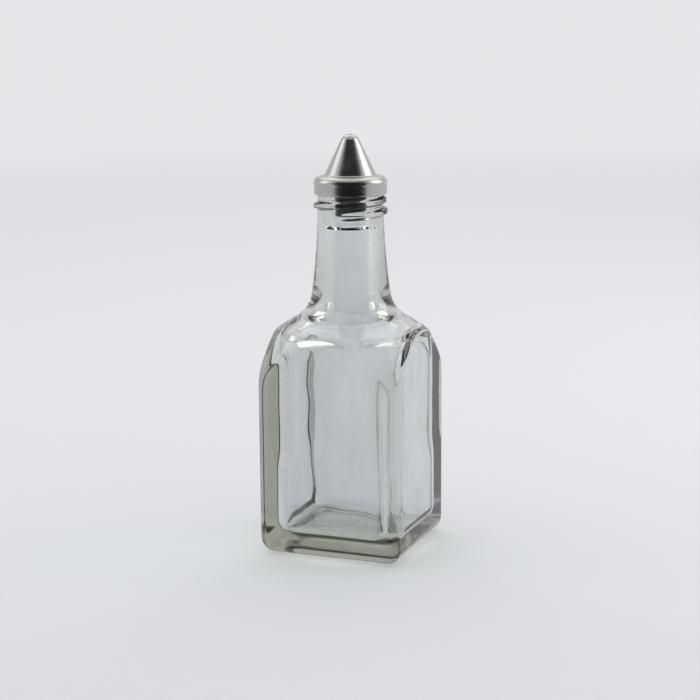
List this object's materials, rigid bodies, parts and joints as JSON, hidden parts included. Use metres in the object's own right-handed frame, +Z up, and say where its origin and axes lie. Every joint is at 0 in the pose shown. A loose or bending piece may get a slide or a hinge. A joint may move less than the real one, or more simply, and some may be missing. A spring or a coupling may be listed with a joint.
{
  "type": "vinegar cruet",
  "caption": "Square clear glass cruet with an arched shoulder and a round neck, plugged by a black insert under a conical steel pouring cap.",
  "frame": {"origin": "middle of the flat base, on the surface it stands on", "axes": "+Z up along the neck; the four flat sides face +X, -X, +Y and -Y"},
  "size_m": [0.057, 0.057, 0.1592],
  "materials": {
    "clear_glass": "polished moulded soda-lime glass, faintly green where thick",
    "black_plastic": "satin black moulded plastic",
    "steel": "spun stainless steel, satin polish"
  },
  "bodies": {
    "root": {"glass_bottle": "clear_glass", "pourer_insert": "black_plastic", "pourer_cap": "steel"}
  },
  "joints": []
}
